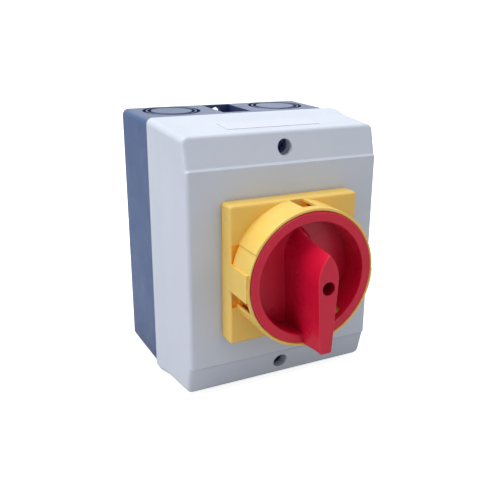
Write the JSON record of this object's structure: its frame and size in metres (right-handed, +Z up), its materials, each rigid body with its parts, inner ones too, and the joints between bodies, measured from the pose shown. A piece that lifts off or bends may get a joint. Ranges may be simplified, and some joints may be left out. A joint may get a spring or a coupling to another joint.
{
  "type": "enclosed rotary isolator switch",
  "caption": "Wall box with a screwed cover and a yellow and red padlockable rotary handle that turns a quarter turn and works a cam switch inside.",
  "frame": {"origin": "centre of the flat rear face of the base, which rests on the wall", "axes": "+X to the right as seen by the user, +Y into the wall, +Z up; the handle faces -Y"},
  "size_m": [0.1, 0.1178, 0.125],
  "materials": {
    "base_plastic": "fine moulded texture, blue-grey",
    "cover_plastic": "satin moulded, light grey",
    "yellow_plastic": "satin moulded, signal yellow",
    "red_plastic": "satin moulded, signal red",
    "label_plastic": "plain printed film, no text",
    "switch_plastic": "dark glass-filled moulding",
    "cam_plastic": "ivory slippery moulding",
    "gasket_rubber": "foamed sealing rubber",
    "zinc_steel": "bright zinc plated",
    "black_zinc": "blue-black zinc plated",
    "spring_steel": "drawn spring wire and strip",
    "brass": "turned and stamped brass",
    "silver_tip": "silver alloy contact button"
  },
  "bodies": {
    "base": {"base_box": "base_plastic", "cover_gasket": "gasket_rubber", "screw_inserts": "brass", "earth_terminal": "brass", "earth_screws": "zinc_steel"},
    "rotor": {"knob": "red_plastic", "knob_screw": "black_zinc", "shaft": "zinc_steel", "star_wheel": "cam_plastic", "cam_front": "cam_plastic", "cam_rear": "cam_plastic"},
    "contacts_left": {"bridges_left": "brass", "bridge_tips_left": "silver_tip", "plungers_left": "cam_plastic"},
    "contacts_right": {"bridges_right": "brass", "bridge_tips_right": "silver_tip", "plungers_right": "cam_plastic"},
    "cover": {"cover": "cover_plastic", "cover_screws": "black_zinc", "cover_screw_seals": "gasket_rubber", "label_plate": "label_plastic", "front_plate": "yellow_plastic", "plate_gasket": "gasket_rubber", "plate_screws": "zinc_steel", "shaft_seal": "gasket_rubber", "index_housing": "switch_plastic", "detent_springs": "spring_steel", "chamber_front": "switch_plastic", "chamber_rear": "switch_plastic", "end_plate": "switch_plastic", "tie_bolts": "zinc_steel", "terminals_top": "brass", "terminals_bottom": "brass", "terminal_screws": "zinc_steel", "terminal_clamps": "zinc_steel", "fixed_contact_tips": "silver_tip", "contact_springs_left": "spring_steel", "contact_springs_right": "spring_steel"}
  },
  "joints": [
    {"name": "cover_off", "type": "slide", "parent": "base", "child": "cover", "axis": [0, -1, 0], "range_m": [0, 0.09]},
    {"name": "knob_turn", "type": "hinge", "parent": "cover", "child": "rotor", "pos_m": [0, -0.06, 0], "axis": [0, 1, 0], "range_deg": [0, 90], "deforming": ["detent_springs"]},
    {"name": "contact_left", "type": "slide", "parent": "cover", "child": "contacts_left", "axis": [1, 0, 0], "range_m": [0, 0.0024], "deforming": ["contact_springs_left"]},
    {"name": "contact_right", "type": "slide", "parent": "cover", "child": "contacts_right", "axis": [-1, 0, 0], "range_m": [0, 0.0024], "deforming": ["contact_springs_right"]}
  ],
  "couplings": [
    {"joint": "contact_left", "follows": "knob_turn", "m_per_rad": 0.0015279},
    {"joint": "contact_right", "follows": "knob_turn", "m_per_rad": 0.0015279}
  ]
}
